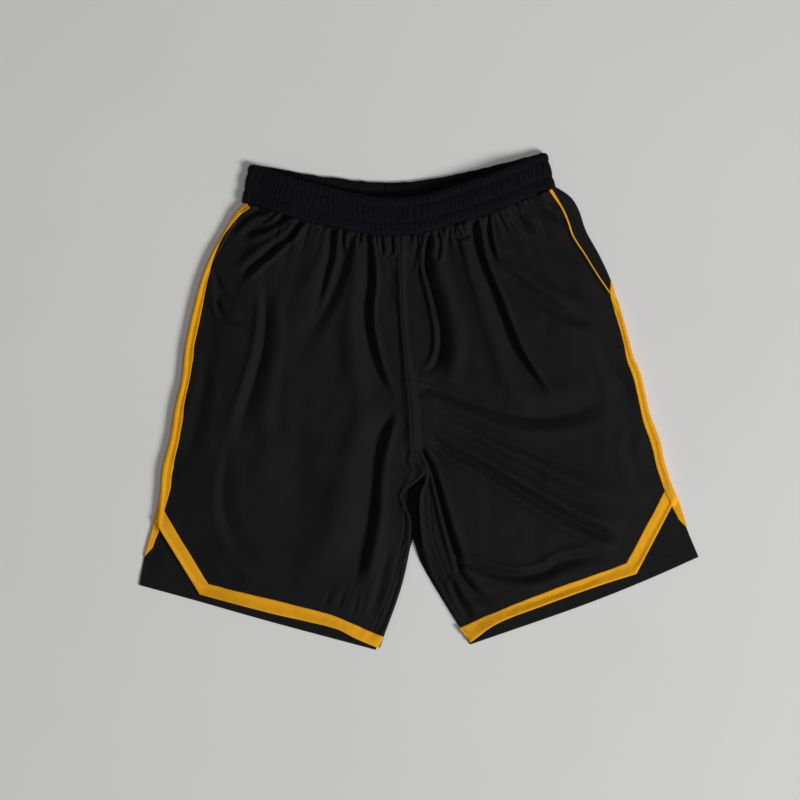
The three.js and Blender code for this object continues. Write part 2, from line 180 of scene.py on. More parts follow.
def drawn_in(points, side):
    """An outline's points, moved inwards to leave room for the tape round the edge.

    The last one, below the tape, stays.
    """
    points = np.array(points, float)
    way = np.gradient(points, axis=0)
    way /= np.linalg.norm(way, axis=1, keepdims=True)
    inwards = side * np.stack([way[:, 1], -way[:, 0]], -1)
    points[:-1] += EDGE_ROLL * inwards[:-1]
    return [tuple(point) for point in points]


# The side line runs from the waist to the back hem. A front is cut off at its vent.
SIDE_RIGHT = drawn_in([
    (-193, 222), (-204.5, 211.5), (-213, 198), (-221.5, 184), (-235, 158), (-245, 131), (-252, 104),
    (-257.5, 80), (-262, 57), (-265.5, 24), (-273, -8), (-278.5, -43), (-287, -75), (-289.5, -104),
    (-297.5, -138), (-308, -173), (-312.5, -205.5),
], -1)
SIDE_LEFT = drawn_in([
    (151, 242), (170, 229), (180, 213), (188, 190), (203, 163), (216, 135), (221, 118), (226, 104),
    (233.5, 77), (240.5, 50), (248, 33), (253.5, 10), (260, -17), (270, -43), (276, -70), (285, -97),
    (292, -112), (301, -140), (313.5, -174),
], 1)
RIGHT_VENT_ROW, LEFT_VENT_ROW = 14, 16  # where the outlines reach the tops of the vents
MOUTH_LEFT = [(148, 237), (160, 217), (167, 201), (173, 184), (187, 162), (200, 141), (215, 120)]

LEGS = {
    "right": {
        "side": -1,
        "inseam": [
            CROTCH, (-5, -91), (-15, -99), (-18.5, -107), (-14, -119), (-9, -132), (-9, -148), (-11, -168),
            (-21, -211), (-44, -275),
        ],
        "back_inseam": [CROTCH, (5, -92), (-1, -110), (-4, -145), (-11, -170), (-21, -211), (-48, -278)],
        "front_side": [SIDE_RIGHT[:RIGHT_VENT_ROW] + [(-293, -138)]],
        "vent": [(-293, -138), (-282, -154), (-244.5, -215)],
        "hem": [(-44, -275), (-70, -264.2), (-91.5, -254.2), (-125, -245.4), (-164, -236.6), (-244.5, -215)],
        "back_side": SIDE_RIGHT,
        "back_hem": [(-48, -278), (-164, -247), (-245, -224), (-312.5, -205.5)],
    },
    "left": {
        "side": 1,
        "inseam": [
            CROTCH, (6, -91), (1.5, -102), (0, -118), (1, -136), (3, -155), (7, -174), (14.5, -194),
            (57.5, -269),
        ],
        "back_inseam": [CROTCH, (-6, -92), (-12, -108), (-9, -140), (-4, -160), (8, -190), (58, -272)],
        "front_side": [MOUTH_LEFT, [(215, 120)] + SIDE_LEFT[7:LEFT_VENT_ROW] + [(288, -111)]],
        "vent": [(287, -110.5), (277.5, -126.5), (243.3, -192)],
        "hem": [(57.5, -269), (88.5, -247), (138.5, -227.5), (195.5, -207), (243.3, -192)],
        "back_side": SIDE_LEFT,
        "back_hem": [(58, -272), (176, -231), (250, -202), (313.5, -174)],
    },
}


def half_waist(seam, side):
    """A seam from the centre to one side."""
    shares = np.linspace(0.5, 0.5 + 0.5 * side, 12)
    return Line([tuple(p) for p in seam.at(shares)])


for leg in LEGS.values():
    leg["waist_line"] = half_waist(FRONT_SEAM, leg["side"])
    leg["back_waist_line"] = half_waist(BACK_SEAM, leg["side"])
    leg["outer_line"] = Line(*leg["front_side"], leg["vent"])
    for edge in ("hem", "inseam", "back_side", "back_hem", "back_inseam"):
        leg[f"{edge}_line"] = Line(leg[edge])


def seam_then_inseam(seam, inseam):
    """A panel's inner edge: the centre seam down to the crotch, then the inseam."""
    start = tuple(seam.at(0.5))
    centre = Line([start, *CENTRE_SEAM])

    def inner(v):
        upper = centre.at(v / CROTCH_ROW)
        lower = inseam.at((v - CROTCH_ROW) / (1 - CROTCH_ROW))
        return np.where((v < CROTCH_ROW)[:, None], upper, lower)

    return inner, centre


# ---- Folds --------------------------------------------------------------------------------

# Each fold: its line from where it starts, its depth, its half width, and the share of its length
# over which it fades in and out. A positive lean makes the left side of its way the steeper one.
FOLDS = {
    "right": [
        ([(-172, 142), (-171, 100), (-174, 62), (-185, 20),
          (-196, -20), (-203, -60)], 4.0, 8.5, (0.25, 0.4), -0.4),
        ([(-120, 208), (-150, 179), (-178, 156), (-205, 132)], 5.0, 4.6, (0.05, 0.3), 0.3),
        ([(-140, 209), (-165, 196), (-200, 186)], 3.6, 5, (0.1, 0.3), 0.2),
        ([(-178, 214), (-200, 200), (-214, 188)], 2.6, 4.5, (0.1, 0.3), 0),
        ([(-93, 194), (-96, 165), (-103, 140), (-112, 112), (-119, 88)], 4.4, 6.5, (0.05, 0.5), 0.6),
        ([(-73, 188), (-84, 150), (-100, 112), (-120, 76), (-140, 36)], 2.4, 8.5, (0.1, 0.5), 0.2),
        ([(-55, 188), (-51, 139), (-55, 99), (-51, 64), (-42, 29), (-27, -2)], 6.4, 8.5, (0.03, 0.3), 0.85),
        ([(-27, 0), (-46, -63), (-55, -138), (-73, -215)], 5.0, 14, (0.2, 0.2), 0.75),
        ([(-229, 118), (-220, 97), (-206, 89), (-190, 87)], 2.4, 4.5, (0.2, 0.4), -0.3),
        ([(-231, 150), (-222, 126), (-213, 108)], 1.4, 5, (0.2, 0.4), 0),
        ([(-212, -40), (-218, -90), (-217, -125), (-203, -160), (-165, -188)], 1.6, 9, (0.3, 0.3), -0.4),
        ([(-226, -176), (-205, -192), (-184, -206)], 1.2, 6, (0.2, 0.4), 0),
        ([(-244, 60), (-240, 20), (-250, -30), (-258, -80)], 1.3, 9, (0.3, 0.4), 0),
        ([(-92, -205), (-101, -220), (-106, -232)], 0.8, 3, (0.5, 0.3), 0.3),
        ([(-78, -200), (-85, -218), (-90, -236)], 1.0, 3, (0.5, 0.3), 0.3),
        ([(-66, -206), (-70, -226), (-75, -243)], 0.9, 3, (0.5, 0.3), 0.3),
        ([(-135, -10), (-138, -80), (-128, -150)], 2.0, 22, (0.4, 0.4), 0),
        ([(-30, -150), (-42, -200), (-56, -250)], 1.8, 5, (0.4, 0.3), -0.3),
        ([(-130, 208), (-136, 190), (-150, 172)], 3.0, 3.2, (0.05, 0.5), 0.4),
        ([(-156, 213), (-166, 204), (-184, 196)], 2.8, 2.8, (0.05, 0.5), 0.3),
        ([(-82, 192), (-84, 176), (-82, 160)], 3.2, 3.2, (0.05, 0.6), 0.5),
        ([(-65, 189), (-66, 176), (-62, 162)], 2.6, 2.8, (0.05, 0.6), -0.4),
        ([(-42, 187), (-40, 172), (-42, 155)], 2.4, 2.6, (0.05, 0.6), 0.3),
        ([(-30, 186), (-29, 172), (-31, 160)], 1.8, 2.2, (0.05, 0.6), 0),
    ],
    "left": [
        ([(11, 188), (7, 152), (16, 116), (24, 76), (21, 48), (6, 27)], 6.0, 6.5, (0.03, 0.2), -0.8),
        ([(64, 204), (72, 160), (92, 108), (111, 58), (134, 20), (148, -4)], 7.4, 8, (0.03, 0.3), 0.85),
        ([(78, 208), (81, 175), (90, 148)], 4.4, 3.5, (0.05, 0.5), 0.4),
        ([(100, 214), (112, 204), (134, 186)], 3.2, 5, (0.1, 0.5), 0),
        ([(118, 222), (140, 212), (170, 196)], 3.0, 5, (0.1, 0.4), 0),
        ([(92, 172), (128, 145), (170, 121), (198, 100)], 3.6, 9, (0.2, 0.3), -0.3),
        ([(88, 150), (130, 114), (170, 95), (214, 82)], 3.0, 9, (0.2, 0.3), -0.3),
        ([(0, 20), (48, 3), (112, -16), (170, -14), (224, 12)], 3.6, 12, (0.06, 0.35), -0.3),
        ([(4, 2), (53, -24), (101, -46), (139, -60),
          (180, -76), (210, -91), (239, -110)], 2.4, 7.5, (0.22, 0.3), 0),
        ([(6, -34), (26, -49), (63, -69), (97, -90),
          (134, -112), (171, -133), (227, -157)], 4.4, 5.6, (0.16, 0.12), 0),
        ([(8, -14), (53, -39), (90, -61), (128, -80), (157, -98),
          (187, -112), (217, -120), (250, -121)], 2.6, 7, (0.22, 0.25), 0),
        ([(0, -48), (14, -76), (22, -104), (32, -143), (41, -172), (47, -196)], 5.4, 3.6, (0.1, 0.2), -0.5),
        ([(40, -172), (80, -189), (110, -195), (140, -190),
          (158, -180), (188, -174), (230, -172)], 3.6, 6.5, (0.12, 0.3), 0.2),
        ([(42, -186), (66, -216), (88, -224)], 3.6, 6, (0.1, 0.4), 0.2),
        ([(36, -196), (46, -222), (60, -244)], 2.4, 5, (0.2, 0.2), 0),
        ([(198, 60), (222, 30), (238, -10)], 2.2, 10, (0.3, 0.4), 0),
        ([(240, -20), (236, -60), (262, -98)], 1.1, 8, (0.3, 0.4), 0),
        ([(-2, 186), (0, 170), (-3, 154)], 1.8, 2.4, (0.05, 0.6), 0.3),
        ([(22, 190), (24, 174), (20, 152)], 3.4, 3.4, (0.05, 0.4), 0.5),
        ([(34, 193), (34, 180), (38, 168)], 2.2, 2.6, (0.05, 0.6), 0),
        ([(88, 212), (96, 196), (104, 184)], 2.6, 2.8, (0.05, 0.6), 0.3),
        ([(130, 228), (144, 222), (158, 214)], 2.2, 2.6, (0.05, 0.6), 0),
        ([(44, 193), (50, 183), (58, 190)], 2.0, 2.2, (0.2, 0.2), 0.4),
        ([(-13, 27), (2, 23), (16, 20)], 1.3, 1.9, (0.1, 0.1), 0),
    ],
}


FOLD_DEPTH = 1.45  # takes every fold's depth up together


def fold_heights(points, folds):
    """Each fold is a valley with a lower, rounder shoulder on both sides."""
    total = np.zeros(points.shape[:-1])
    for way, depth, half, (fade_in, fade_out), lean in folds:
        far, share, sign = Line(way).near(points)
        strength = ease(share / fade_in) * ease((1 - share) / fade_out)
        width = 0.85 * half * np.where(sign > 0, 1 - 0.7 * lean, 1 + 0.7 * lean)
        width = width * (0.7 + 0.6 * share)
        reach = far / width
        crease = 0.5 * abs(lean)
        valley = (1 - crease) * np.exp(-reach**1.6) + crease * np.exp(-(reach / 0.45) ** 1.3)
        shoulder = np.exp(-((reach - 1.9) / 0.9) ** 2)
        ends = np.where((share <= 0) | (share >= 1), np.exp(-(reach / 1.2) ** 2), 1)
        total += FOLD_DEPTH * depth * strength * ends * (0.5 * shoulder - valley)
    return total


def pinched(turns):
    """Round ridges between narrow valleys, from -1 to 1, one to a turn."""
    return 2 * np.abs(np.sin(math.pi * turns)) ** 0.7 - 1.2


def gather_heights(points):
    """Ripples that hang from the gathered waist seam and fade out down the leg."""
    far, share, _ = FRONT_SEAM.near(points)
    along = share * FRONT_SEAM.length
    bend = 0.12 * far * wave_noise(along, 40, 5)
    place = along + bend
    fine = pinched(place / 9.5 + 0.9 * wave_noise(along, 24, 1))
    broad = pinched(place / 19 + 0.8 * wave_noise(along, 45, 2))
    power = 0.6 + 0.4 * wave_noise(along, 30, 3)
    return power * (1.5 * fine * np.exp(-far / 14) + 2.6 * broad * np.exp(-far / 36))


def rounded(far, radius=9):
    """A quarter circle's rise, from 0 at an edge to 1 a radius away from it."""
    return np.sqrt(1 - (1 - np.clip(far / radius, 0, 1)) ** 2)


def front_height(leg, points):
    """Height of the front cloth's underside over the floor, at points of the plan."""
    outer, outer_share, _ = leg["outer_line"].near(points)
    inner, _, _ = leg["inseam_line"].near(points)
    waist, _, _ = FRONT_SEAM.near(points)
    hem, _, _ = leg["hem_line"].near(points)
    loft = LOFT_LEG + (LOFT_WAIST - LOFT_LEG) * np.exp(-waist / 40)
    loft += (LOFT_HEM - LOFT_LEG) * np.exp(-hem / 60)
    # Next to the waist corner the band carries the cloth's edge.
    edge = 2.2 + 4.5 * np.exp(-(outer_share * leg["outer_line"].length) / 14)
    if leg["side"] > 0:
        # The facing holds the open pocket's mouth up.
        edge = edge + 4.0 * ease((outer_share - 0.02) / 0.05) * ease((0.30 - outer_share) / 0.08)
    near_side = 0.45 * rounded(outer) + 0.55 * ease(outer / 62)
    # Below the crotch the edges stand up round a hollow.
    hollow = ease((points[..., 1] + 185) / 40) * ease((-62 - points[..., 1]) / 18)
    rim = 2.2 + 9.0 * hollow
    near_inner = 0.5 * rounded(inner) + 0.5 * ease(inner / 48)
    height = edge + (loft - edge) * near_side
    height = rim + (height - rim) * near_inner
    calm = ease(outer / 16) * (0.25 + 0.75 * ease(inner / 14))
    calm = calm * (0.35 + 0.65 * ease(hem / 30)) * ease(waist / 3)
    rough = fold_heights(points, FOLDS["right"] + FOLDS["left"])
    rough += 0.55 * soft_noise(points, 26, 11) + 0.3 * soft_noise(points, 12, 12)
    rough += 0.6 * soft_noise(points * (1, 0.3), 13, 13)
    return np.maximum(height + calm * rough + ease(outer / 12) * gather_heights(points), LOWEST_FRONT)


# ---- Meshes -------------------------------------------------------------------------------

def new_object(name, points, faces, uvs=None):
    mesh = bpy.data.meshes.new(name)
    mesh.from_pydata([tuple(p) for p in np.asarray(points, float) * MM], [], [tuple(f) for f in faces])
    mesh.update()
    mesh.polygons.foreach_set("use_smooth", [True] * len(mesh.polygons))
    if uvs is not None:
        layer = mesh.uv_layers.new(name="cloth")
        corner = np.zeros(len(mesh.loops), int)
        mesh.loops.foreach_get("vertex_index", corner)
        layer.data.foreach_set("uv", (np.asarray(uvs, float)[corner] * MM).ravel())
    obj = bpy.data.objects.new(name, mesh)
    bpy.context.scene.collection.objects.link(obj)
    return obj


def grid_faces(rows, columns, closed_rows=False, closed_columns=False):
    faces = []
    for i in range(rows if closed_rows else rows - 1):
        for j in range(columns if closed_columns else columns - 1):
            this, next_row = i * columns, (i + 1) % rows * columns
            next_column = (j + 1) % columns
            faces.append((this + j, this + next_column, next_row + next_column, next_row + j))
    return faces


def uv_grid(across, down):
    return np.dstack(np.broadcast_arrays(across, down))


def grid_object(name, grid, uvs=None, **closed):
    rows, columns = grid.shape[:2]
    flat_uv = None if uvs is None else uvs.reshape(-1, 2)
    return new_object(name, grid.reshape(-1, 3), grid_faces(rows, columns, **closed), flat_uv)


def apply_modifiers(obj):
    """Puts the result of an object's modifiers into its mesh."""
    depsgraph = bpy.context.evaluated_depsgraph_get()
    mesh = bpy.data.meshes.new_from_object(obj.evaluated_get(depsgraph))
    old, obj.data = obj.data, mesh
    obj.modifiers.clear()
    bpy.data.meshes.remove(old)
    mesh.name = obj.name


def face_up(obj):
    """Turns the faces of an open sheet so that most of them look up."""
    mesh = obj.data
    normals = np.zeros(len(mesh.polygons) * 3)
    areas = np.zeros(len(mesh.polygons))
    mesh.polygons.foreach_get("normal", normals)
    mesh.polygons.foreach_get("area", areas)
    if normals.reshape(-1, 3)[:, 2] @ areas < 0:
        mesh.flip_normals()


def solidify(obj, thickness, offset):
    solid = obj.modifiers.new("thick", "SOLIDIFY")
    solid.thickness = thickness * MM
    solid.offset = offset
    solid.use_rim = True
    solid.use_even_offset = False
    apply_modifiers(obj)


def points_of(obj):
    flat = np.zeros(len(obj.data.vertices) * 3)
    obj.data.vertices.foreach_get("co", flat)
    return flat.reshape(-1, 3) / MM


def set_points(obj, points):
    obj.data.vertices.foreach_set("co", (points * MM).ravel())
    obj.data.update()


class Surface:
    """What lies on cloth asks it for the height under a point of the plan."""

    def __init__(self, *objects):
        points, faces = [], []
        for obj in objects:
            start = len(points)
            points += [tuple(p) for p in points_of(obj)]
            faces += [tuple(start + i for i in poly.vertices) for poly in obj.data.polygons]
        self.tree = BVHTree.FromPolygons(points, faces)

    def height(self, x, y):
        hit = self.tree.ray_cast(Vector((x, y, 80)), Vector((0, 0, -1)))
        if hit[0] is None:
            return self.tree.find_nearest(Vector((x, y, 10)))[0].z
        return hit[0].z

    def undersides(self, points):
        """Heights of the lowest face over each point of the plan."""
        flat = np.asarray(points, float).reshape(-1, 2)
        hits = [self.tree.ray_cast(Vector((x, y, -5)), Vector((0, 0, 1)))[0] for x, y in flat]
        heights = [hit.z if hit is not None else self.height(x, y) for hit, (x, y) in zip(hits, flat)]
        return np.array(heights).reshape(np.shape(points)[:-1])

    def heights(self, points):
        flat = np.asarray(points, float).reshape(-1, 2)
        return np.array([self.height(x, y) for x, y in flat]).reshape(np.shape(points)[:-1])


# ---- Materials ----------------------------------------------------------------------------

class Nodes:
    """Short calls for building a material's node tree."""

    def __init__(self, name):
        self.material = bpy.data.materials.new(name)
        self.material.use_nodes = True
        self.tree = self.material.node_tree
        self.shader = next(n for n in self.tree.nodes if n.type == "BSDF_PRINCIPLED")

    def add(self, kind, inputs=(), **settings):
        node = self.tree.nodes.new(kind)
        for key, value in settings.items():
            setattr(node, key, value)
        for key, value in dict(inputs).items():
            if isinstance(value, bpy.types.NodeSocket):
                self.tree.links.new(value, node.inputs[key])
            else:
                node.inputs[key].default_value = value
        return node.outputs[0]

    def math(self, operation, a, b=0.0):
        return self.add("ShaderNodeMath", {0: a, 1: b}, operation=operation)

    def set(self, **values):
        for key, value in values.items():
            socket = self.shader.inputs[key.replace("_", " ")]
            if isinstance(value, bpy.types.NodeSocket):
                self.tree.links.new(value, socket)
            else:
                socket.default_value = value

    def cloth_uv(self):
        uv = self.add("ShaderNodeUVMap", uv_map="cloth")
        split = self.tree.nodes.new("ShaderNodeSeparateXYZ")
        self.tree.links.new(uv, split.inputs[0])
        return uv, split.outputs[0], split.outputs[1]

    def object_place(self):
        return self.tree.nodes.new("ShaderNodeTexCoord").outputs["Object"]

    def ribs(self, place, pitch_mm, shift=None):
        turns = self.math("MULTIPLY", place, 2 * math.pi / (pitch_mm * MM))
        if shift is not None:
            turns = self.math("ADD", turns, shift)
        return self.math("SINE", turns)

    def noise(self, vector, scale, detail=3.0):
        return self.add("ShaderNodeTexNoise", {"Vector": vector, "Scale": scale, "Detail": detail})

    def mix(self, factor, low, high):
        ramp = self.tree.nodes.new("ShaderNodeValToRGB")
        self.tree.links.new(factor, ramp.inputs[0])
        ramp.color_ramp.elements[0].color = (*low, 1)
        ramp.color_ramp.elements[1].color = (*high, 1)
        return ramp.outputs[0]

    def remap(self, value, low, high):
        return self.add("ShaderNodeMapRange", {0: value, 1: 0.0, 2: 1.0, 3: low, 4: high})

    def bump(self, height, distance_mm):
        return self.add("ShaderNodeBump", {"Height": height, "Distance": distance_mm * MM, "Strength": 1.0})


def knit_material(
    name, dark, light, wale=0.85, course=0.7, depth=0.1, roughness=0.72, sheen=0.035, gloss=0.14,
):
    """Fine weft knit: upright wales crossed by courses, with small colour and gloss changes."""
    n = Nodes(name)
    uv, across, down = n.cloth_uv()
    wales = n.ribs(across, wale)
    lean = n.math("MULTIPLY", n.math("ABSOLUTE", wales), 2.2)
    courses = n.ribs(down, course, lean)
    loops = n.math("ADD", n.math("MULTIPLY", wales, 0.6), n.math("MULTIPLY", courses, 0.4))
    blotch = n.noise(uv, 22.0)
    fuzz = n.noise(uv, 900.0, 2.0)
    shade = n.math("ADD", n.math("MULTIPLY", blotch, 0.75), n.math("MULTIPLY", fuzz, 0.25))
    n.set(Base_Color=n.mix(shade, dark, light))
    n.set(Roughness=n.remap(blotch, roughness - 0.06, roughness + 0.08))
    n.set(Normal=n.bump(loops, depth))
    n.set(Sheen_Weight=sheen, Sheen_Roughness=0.4, Sheen_Tint=(0.75, 0.77, 0.82, 1))
    n.set(Specular_IOR_Level=gloss, IOR=1.45)
    return n.material


def tape_material(name):
    """Woven twill tape: slanting ribs, slightly worn and dusty along its length."""
    n = Nodes(name)
    uv, across, down = n.cloth_uv()
    slant = n.math("ADD", n.math("MULTIPLY", across, 0.8), down)
    ribs = n.ribs(slant, 0.9)
    fine = n.ribs(across, 0.55)
    weave = n.math("ADD", n.math("MULTIPLY", ribs, 0.65), n.math("MULTIPLY", fine, 0.35))
    blotch = n.noise(uv, 55.0)
    fuzz = n.noise(uv, 700.0, 2.0)
    shade = n.math("ADD", n.math("MULTIPLY", blotch, 0.7), n.math("MULTIPLY", fuzz, 0.3))
    tinted = n.math("ADD", shade, n.math("MULTIPLY", weave, 0.06))
    n.set(Base_Color=n.mix(tinted, (0.6, 0.25, 0.002), (0.92, 0.44, 0.004)))
    n.set(Roughness=n.remap(blotch, 0.5, 0.68))
    n.set(Normal=n.bump(weave, 0.09))
    n.set(Sheen_Weight=0.03, Sheen_Roughness=0.4, Sheen_Tint=(1.0, 0.8, 0.4, 1))
    n.set(Specular_IOR_Level=0.2, IOR=1.45)
    return n.material


def thread_material(name, dark, light):
    """Twisted sewing thread."""
    n = Nodes(name)
    twist = n.noise(n.object_place(), 2600.0, 1.0)
    n.set(Base_Color=n.mix(twist, dark, light), Roughness=0.5)
    n.set(Normal=n.bump(twist, 0.05))
    n.set(Sheen_Weight=0.02, Sheen_Roughness=0.3, Specular_IOR_Level=0.15)
    return n.material


def woven_material(name, dark, light, warp=0.5, weft=0.5, depth=0.06, roughness=0.6):
    """Plain weave, for lining, label and elastic webbing."""
    n = Nodes(name)
    uv, across, down = n.cloth_uv()
    over = n.math("MULTIPLY", n.ribs(across, warp), n.ribs(down, weft))
    blotch = n.noise(uv, 60.0)
    n.set(Base_Color=n.mix(blotch, dark, light))
    n.set(Roughness=n.remap(blotch, roughness - 0.05, roughness + 0.1))
    n.set(Normal=n.bump(over, depth))
    n.set(Sheen_Weight=0.015, Sheen_Roughness=0.4, Specular_IOR_Level=0.06)
    return n.material


BLACK = knit_material("black_knit", (0.0038, 0.0038, 0.0042), (0.0074, 0.0074, 0.0081))
BAND_BLACK = knit_material(
    "band_knit", (0.0026, 0.0026, 0.0034), (0.005, 0.005, 0.0064), 0.7, 0.9, sheen=0.02, gloss=0.08,
)
YELLOW = tape_material("yellow_tape")
BLACK_THREAD = thread_material("black_thread", (0.003, 0.003, 0.0034), (0.008, 0.008, 0.009))
YELLOW_THREAD = thread_material("yellow_thread", (0.5, 0.2, 0.004), (0.8, 0.4, 0.012))
LINING_CLOTH = woven_material("lining", (0.006, 0.006, 0.007), (0.013, 0.013, 0.014))
LABEL_CLOTH = woven_material("label", (0.0014, 0.0014, 0.0016), (0.0026, 0.0026, 0.003), 0.4, 0.3, 0.05, 0.6)
ELASTIC = woven_material("elastic", (0.008, 0.008, 0.009), (0.02, 0.02, 0.022), 1.6, 0.6, 0.25)


def finish_piece(obj, material, slot, *nodes):
    obj.data.materials.clear()
    obj.data.materials.append(material)
    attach(obj, "root")
    if nodes:
        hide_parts(*nodes)
    return obj


# ---- Stitches -----------------------------------------------------------------------------

def stitches(
    name, rows, pitch=2.9, length=2.1, radius=0.24, slot="black_thread", material=BLACK_THREAD, nodes=(),
):
    """Rows of short thread stitches. Each row is a list of points on the cloth."""
    points, faces = [], []
    for row in rows:
        row = np.asarray(row, float)
        along = running_length(row)
        for middle in np.arange(pitch / 2, along[-1] - length / 2, pitch):
            ends = [
                np.array([np.interp(middle + k * length / 2, along, row[:, i]) for i in range(3)])
                for k in (-1, 1)
            ]
            way = ends[1] - ends[0]
            way /= np.linalg.norm(way) + 1e-9
            side = np.cross(way, (0, 0, 1))
            side /= np.linalg.norm(side) + 1e-9
            up = np.cross(side, way)
            start = len(points)
            centre = (ends[0] + ends[1]) / 2 + up * radius * 0.5
            turns = np.arange(6) * math.pi / 3
            ring = [centre + radius * (side * math.cos(t) + up * math.sin(t)) for t in turns]
            points += [ends[0] - up * radius * 0.4, *ring, ends[1] - up * radius * 0.4]
            for k in range(6):
                a, b = start + 1 + k, start + 1 + (k + 1) % 6
                faces += [(start, b, a), (start + 7, a, b)]
    obj = new_object(name, points, faces)
    return finish_piece(obj, material, slot, *nodes)


# ---- Front panels -------------------------------------------------------------------------

def rows_of(count):
    upper = round(count * CROTCH_ROW)
    return np.r_[
        np.linspace(0, CROTCH_ROW, upper, endpoint=False), np.linspace(CROTCH_ROW, 1, count - upper),
    ]


def columns_of(count):
    """Shares across a leg, closer together at its two edges."""
    even = np.linspace(0, 1, count)
    return 0.5 * even + 0.25 * (1 - np.cos(math.pi * even))


FRONT_COLUMNS, FRONT_ROWS = 165, 290
CENTRE_LINE = seam_then_inseam(FRONT_SEAM, LEGS["right"]["inseam_line"])[1]
INSEAM_SEAMS = [
    Line([(-14, -112), (-17, -150), (-30, -205), (-54, -264)]),
    Line([(12, -94), (15, -143), (24, -176), (45, -222), (70, -260)]),
]


def seam_relief(points):
    """The centre seam and the inseams: a narrow valley with the turned edges standing beside it."""
    total = np.zeros(points.shape[:-1])
    for line, ridge in [(CENTRE_LINE, 0.35), *[(line, 0.45) for line in INSEAM_SEAMS]]:
        far, share, _ = line.near(points)
        inside = (share > 0.001) & (share < 0.999)
        relief = ridge * np.exp(-((far - 2.4) / 1.5) ** 2) - 0.6 * np.exp(-((far / 0.9) ** 2))
        total += np.where(inside, relief, 0)
    return total


SETTLE_STEP = 2  # the cloth simulation has every second row and column of the panel
SETTLE_SCALE = 10.0  # and is run on a larger model, where Blender's cloth is steadier
SETTLE_FRAMES = 24
SPARE_CLOTH = 0.012
MOST_SETTLING = 3.5


def settled_heights(grid):
    """The change in height when the panel has a little spare cloth and settles between its seams."""
    i = np.unique(np.r_[0:grid.shape[0]:SETTLE_STEP, grid.shape[0] - 1])
    j = np.unique(np.r_[0:grid.shape[1]:SETTLE_STEP, grid.shape[1] - 1])
    before = grid[np.ix_(i, j)]
    obj = grid_object("settling", before * SETTLE_SCALE)
    row, column = np.indices(before.shape[:2])
    rim = np.minimum.reduce([row, column, len(i) - 1 - row, len(j) - 1 - column])
    held = obj.vertex_groups.new(name="held")
    held.add([int(k) for k in np.flatnonzero(rim.ravel() < 2)], 1.0, "REPLACE")
    cloth = obj.modifiers.new("cloth", "CLOTH")
    cloth.point_cache.frame_start, cloth.point_cache.frame_end = 1, SETTLE_FRAMES
    cloth.settings.quality = 6
    cloth.settings.mass = 0.2
    cloth.settings.tension_stiffness = cloth.settings.compression_stiffness = 20
    cloth.settings.shear_stiffness = 4
    cloth.settings.bending_stiffness = 0.35
    cloth.settings.air_damping = 2
    cloth.settings.shrink_min = -SPARE_CLOTH
    cloth.settings.vertex_group_mass = "held"
    cloth.settings.effector_weights.gravity = 0.4
    cloth.collision_settings.use_collision = False
    for step in range(1, SETTLE_FRAMES + 1):
        bpy.context.scene.frame_set(step)
    apply_modifiers(obj)
    bpy.context.scene.frame_set(1)
    after = points_of(obj).reshape(before.shape) / SETTLE_SCALE
    bpy.data.objects.remove(obj, do_unlink=True)
    change = np.clip(after[..., 2] - before[..., 2], -MOST_SETTLING, MOST_SETTLING)
    wide = np.stack([np.interp(np.arange(grid.shape[1]), j, line) for line in change])
    return np.stack([np.interp(np.arange(grid.shape[0]), i, line) for line in wide.T], -1)


def make_front(name):
    leg = LEGS[name]
    inner, _ = seam_then_inseam(FRONT_SEAM, leg["inseam_line"])
    u, v = columns_of(FRONT_COLUMNS), rows_of(FRONT_ROWS)
    plan = patch(leg["waist_line"], leg["hem_line"], inner, leg["outer_line"].at, u, v)
    grid = np.dstack([plan, front_height(leg, plan)])
    grid[..., 2] = np.maximum(grid[..., 2] + settled_heights(grid), LOWEST_FRONT)
    uvs = uv_grid(u[None, :] * 265 * leg["side"], -v[:, None] * 500)
    obj = grid_object(f"sewn_front_{name}", grid, uvs)
    face_up(obj)
    return obj


fronts = {name: make_front(name) for name in LEGS}
for front in fronts.values():
    points = points_of(front)
    points[:, 2] += seam_relief(points[:, :2])
    set_points(front, points)
    solidify(front, KNIT, 1)


# ---- Back panels --------------------------------------------------------------------------

HEM_TURN = 17.0
TAPE_LIFT = 0.85  # the folded-under part of the side tape carries the back's edge


def back_height(leg, points):
    side, _, _ = leg["back_side_line"].near(points)
    inner, _, _ = leg["back_inseam_line"].near(points)
    hem, _, _ = leg["back_hem_line"].near(points)
    waist, share, _ = BACK_SEAM.near(points)
    along = share * BACK_SEAM.length
    height = KNIT + FLOOR_CLEAR + 0.9 * (1 + soft_noise(points, 48, 21))
    height = height + 0.35 * (1 + soft_noise(points, 19, 22))
    gathers = np.sin(2 * math.pi * (along / 13 + 0.8 * wave_noise(along, 30, 23)))
    height += 0.8 * (1 + gathers) * np.exp(-waist / 30)
    height *= 0.3 + 0.7 * ease(np.minimum(np.minimum(side, inner), hem) / 26)
    height = np.maximum(height, KNIT + FLOOR_CLEAR)
    height += TAPE_LIFT * ease((TAPE + 18 - side) / 18) * ease((points[..., 1] + 190) / 50)
    if leg["side"] > 0:
        # Where the legs touch, the left one's back lies over the right one's.
        height += (KNIT + 0.15) * ease((12 - inner) / 5) * ease((points[..., 1] + 185) / 25)
    height += 0.7 * ease((HEM_TURN - hem) / 1.2) - 0.5 * np.exp(-(((hem - HEM_TURN + 1.5) / 0.9) ** 2))
    return np.maximum(height, KNIT + FLOOR_CLEAR)


